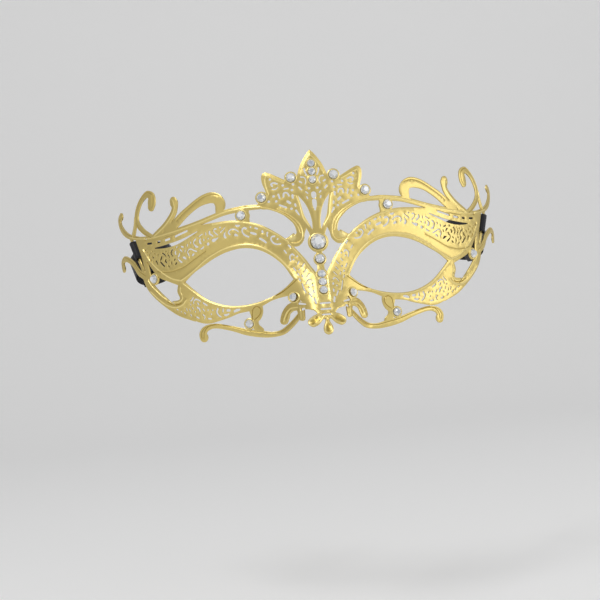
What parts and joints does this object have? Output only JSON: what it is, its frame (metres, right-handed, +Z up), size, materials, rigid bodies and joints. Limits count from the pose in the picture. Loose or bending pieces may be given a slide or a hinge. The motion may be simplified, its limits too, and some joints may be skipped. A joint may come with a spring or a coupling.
{
  "type": "masquerade mask",
  "caption": "Venetian style half mask of pierced gold metal filigree with glued crystal stones and a rolled satin ribbon at each side.",
  "frame": {"origin": "back face of the nose strip on the line of the eyes, where the mask rests on the bridge of the nose", "axes": "+X to the right of someone who faces the mask, -Y out of its front, +Z up"},
  "size_m": [0.187, 0.0951, 0.0839],
  "materials": {
    "gold_plate": "bright gold plating on thin etched sheet",
    "crystal": "cut and polished, with a mirror coat on the flat back",
    "satin": "black satin weave",
    "tie_cord": "matt black tape"
  },
  "bodies": {
    "mask": {"mask_frame": "gold_plate", "stone_brow_left": "crystal", "stone_brow_right": "crystal", "stone_cheek_left": "crystal", "stone_cheek_right": "crystal", "stone_crown_bottom": "crystal", "stone_crown_foot_left": "crystal", "stone_crown_foot_right": "crystal", "stone_crown_middle": "crystal", "stone_crown_top": "crystal", "stone_crown_valley_left": "crystal", "stone_crown_valley_right": "crystal", "stone_nose_1": "crystal", "stone_nose_2": "crystal", "stone_nose_3": "crystal", "stone_nose_4": "crystal", "stone_nose_5": "crystal", "stone_scroll_left": "crystal", "stone_scroll_right": "crystal", "stone_temple_left": "crystal", "stone_temple_right": "crystal"},
    "left_ribbon_body": {"left_ribbon": "satin", "left_ribbon_tie": "tie_cord"},
    "right_ribbon_body": {"right_ribbon": "satin", "right_ribbon_tie": "tie_cord"}
  },
  "joints": [
    {"name": "right_ribbon_swing", "type": "hinge", "parent": "mask", "child": "right_ribbon_body", "pos_m": [0.08468, 0.05147, 0.01706], "axis": [0.276, 0.4884, 0.8278], "range_deg": [-10, 30]},
    {"name": "left_ribbon_swing", "type": "hinge", "parent": "mask", "child": "left_ribbon_body", "pos_m": [-0.08468, 0.05147, 0.01706], "axis": [0.276, -0.4884, -0.8278], "range_deg": [-10, 30]}
  ]
}
